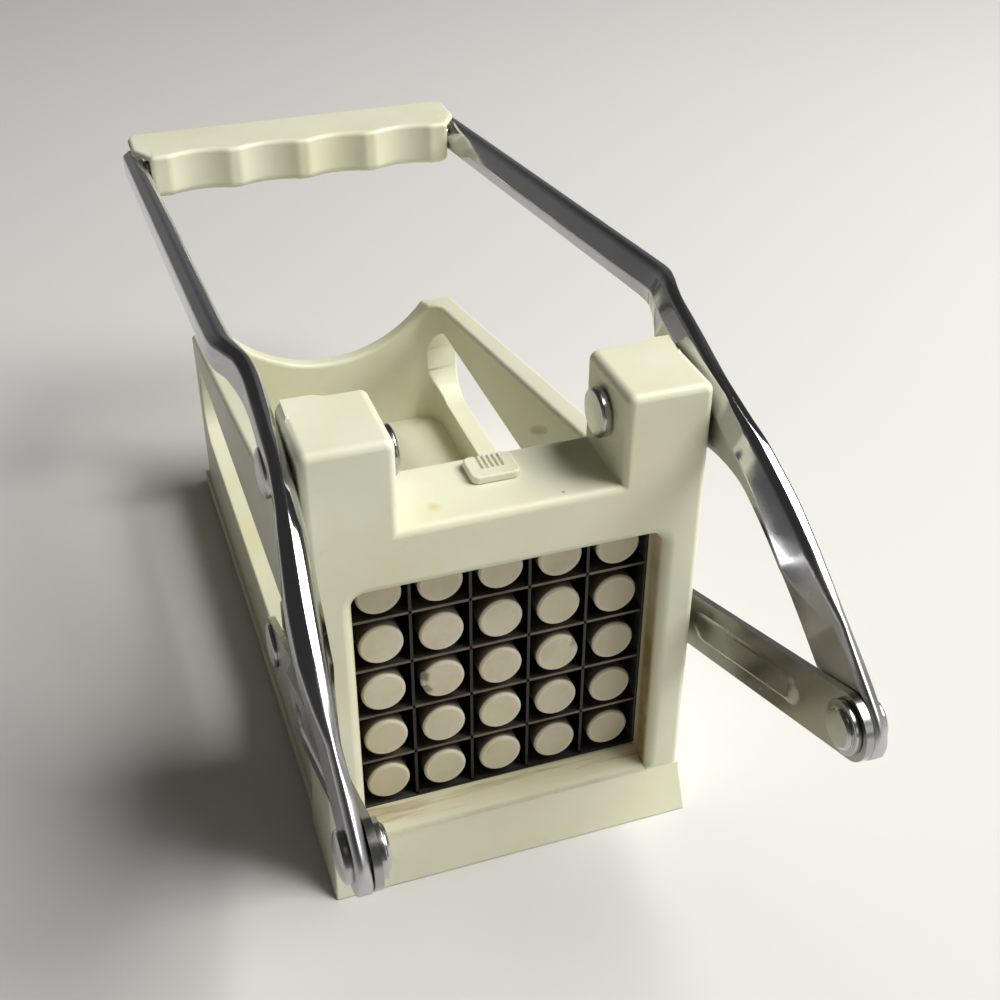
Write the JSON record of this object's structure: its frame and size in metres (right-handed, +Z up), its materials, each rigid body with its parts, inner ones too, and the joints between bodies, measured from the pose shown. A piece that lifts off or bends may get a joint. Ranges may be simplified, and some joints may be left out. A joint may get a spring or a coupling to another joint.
{
  "type": "lever vegetable slicer",
  "caption": "Hand-operated potato chipper: a plastic trough whose lever handle draws a pegged pusher through a steel blade grid.",
  "frame": {"origin": "on the table, under the middle of the front face of the housing", "axes": "+X to the right seen from the front, +Y towards the rear and the grip, +Z up"},
  "size_m": [0.093, 0.2428, 0.1103],
  "materials": {
    "cream_plastic": "moulded, slightly glossy, aged cream",
    "cassette_plastic": "moulded",
    "peg_plastic": "moulded, worn",
    "chrome": "polished plating",
    "link_steel": "plated, dulled",
    "rivet_steel": "plated",
    "blade_steel": "dark, unpolished"
  },
  "bodies": {
    "frame": {"housing": "cream_plastic", "blade_frame": "cassette_plastic", "vertical_blade_1": "blade_steel", "horizontal_blade_1": "blade_steel", "vertical_blade_2": "blade_steel", "horizontal_blade_2": "blade_steel", "vertical_blade_3": "blade_steel", "horizontal_blade_3": "blade_steel", "vertical_blade_4": "blade_steel", "horizontal_blade_4": "blade_steel", "left_pivot_pin": "rivet_steel", "right_pivot_pin": "rivet_steel"},
    "levers": {"left_lever": "chrome", "right_lever": "chrome", "grip": "cream_plastic", "left_grip_pin": "rivet_steel", "right_grip_pin": "rivet_steel", "left_link_rivet": "rivet_steel", "right_link_rivet": "rivet_steel"},
    "links": {"left_link": "link_steel", "right_link": "link_steel", "left_pusher_rivet": "rivet_steel", "right_pusher_rivet": "rivet_steel"},
    "pusher": {"pusher": "peg_plastic", "left_pusher_pin": "rivet_steel", "right_pusher_pin": "rivet_steel"},
    "latch": {"blade_latch": "cream_plastic"}
  },
  "joints": [
    {"name": "lever_swing", "type": "hinge", "parent": "frame", "child": "levers", "pos_m": [0, 0.0106, 0.0958], "axis": [1, 0, 0], "range_deg": [0, 96]},
    {"name": "link_swing", "type": "hinge", "parent": "levers", "child": "links", "pos_m": [0, -0.0505, 0.066], "axis": [1, 0, 0], "range_deg": [-80, 0]},
    {"name": "pusher_slide", "type": "slide", "parent": "frame", "child": "pusher", "axis": [0, 1, 0], "range_m": [0, 0.1032]},
    {"name": "latch_slide", "type": "slide", "parent": "frame", "child": "latch", "axis": [0, 1, 0], "range_m": [0, 0.003]}
  ],
  "couplings": [
    {"joint": "link_swing", "follows": "lever_swing", "ratio": -0.82323},
    {"joint": "pusher_slide", "follows": "lever_swing", "m_per_rad": 0.061361}
  ]
}
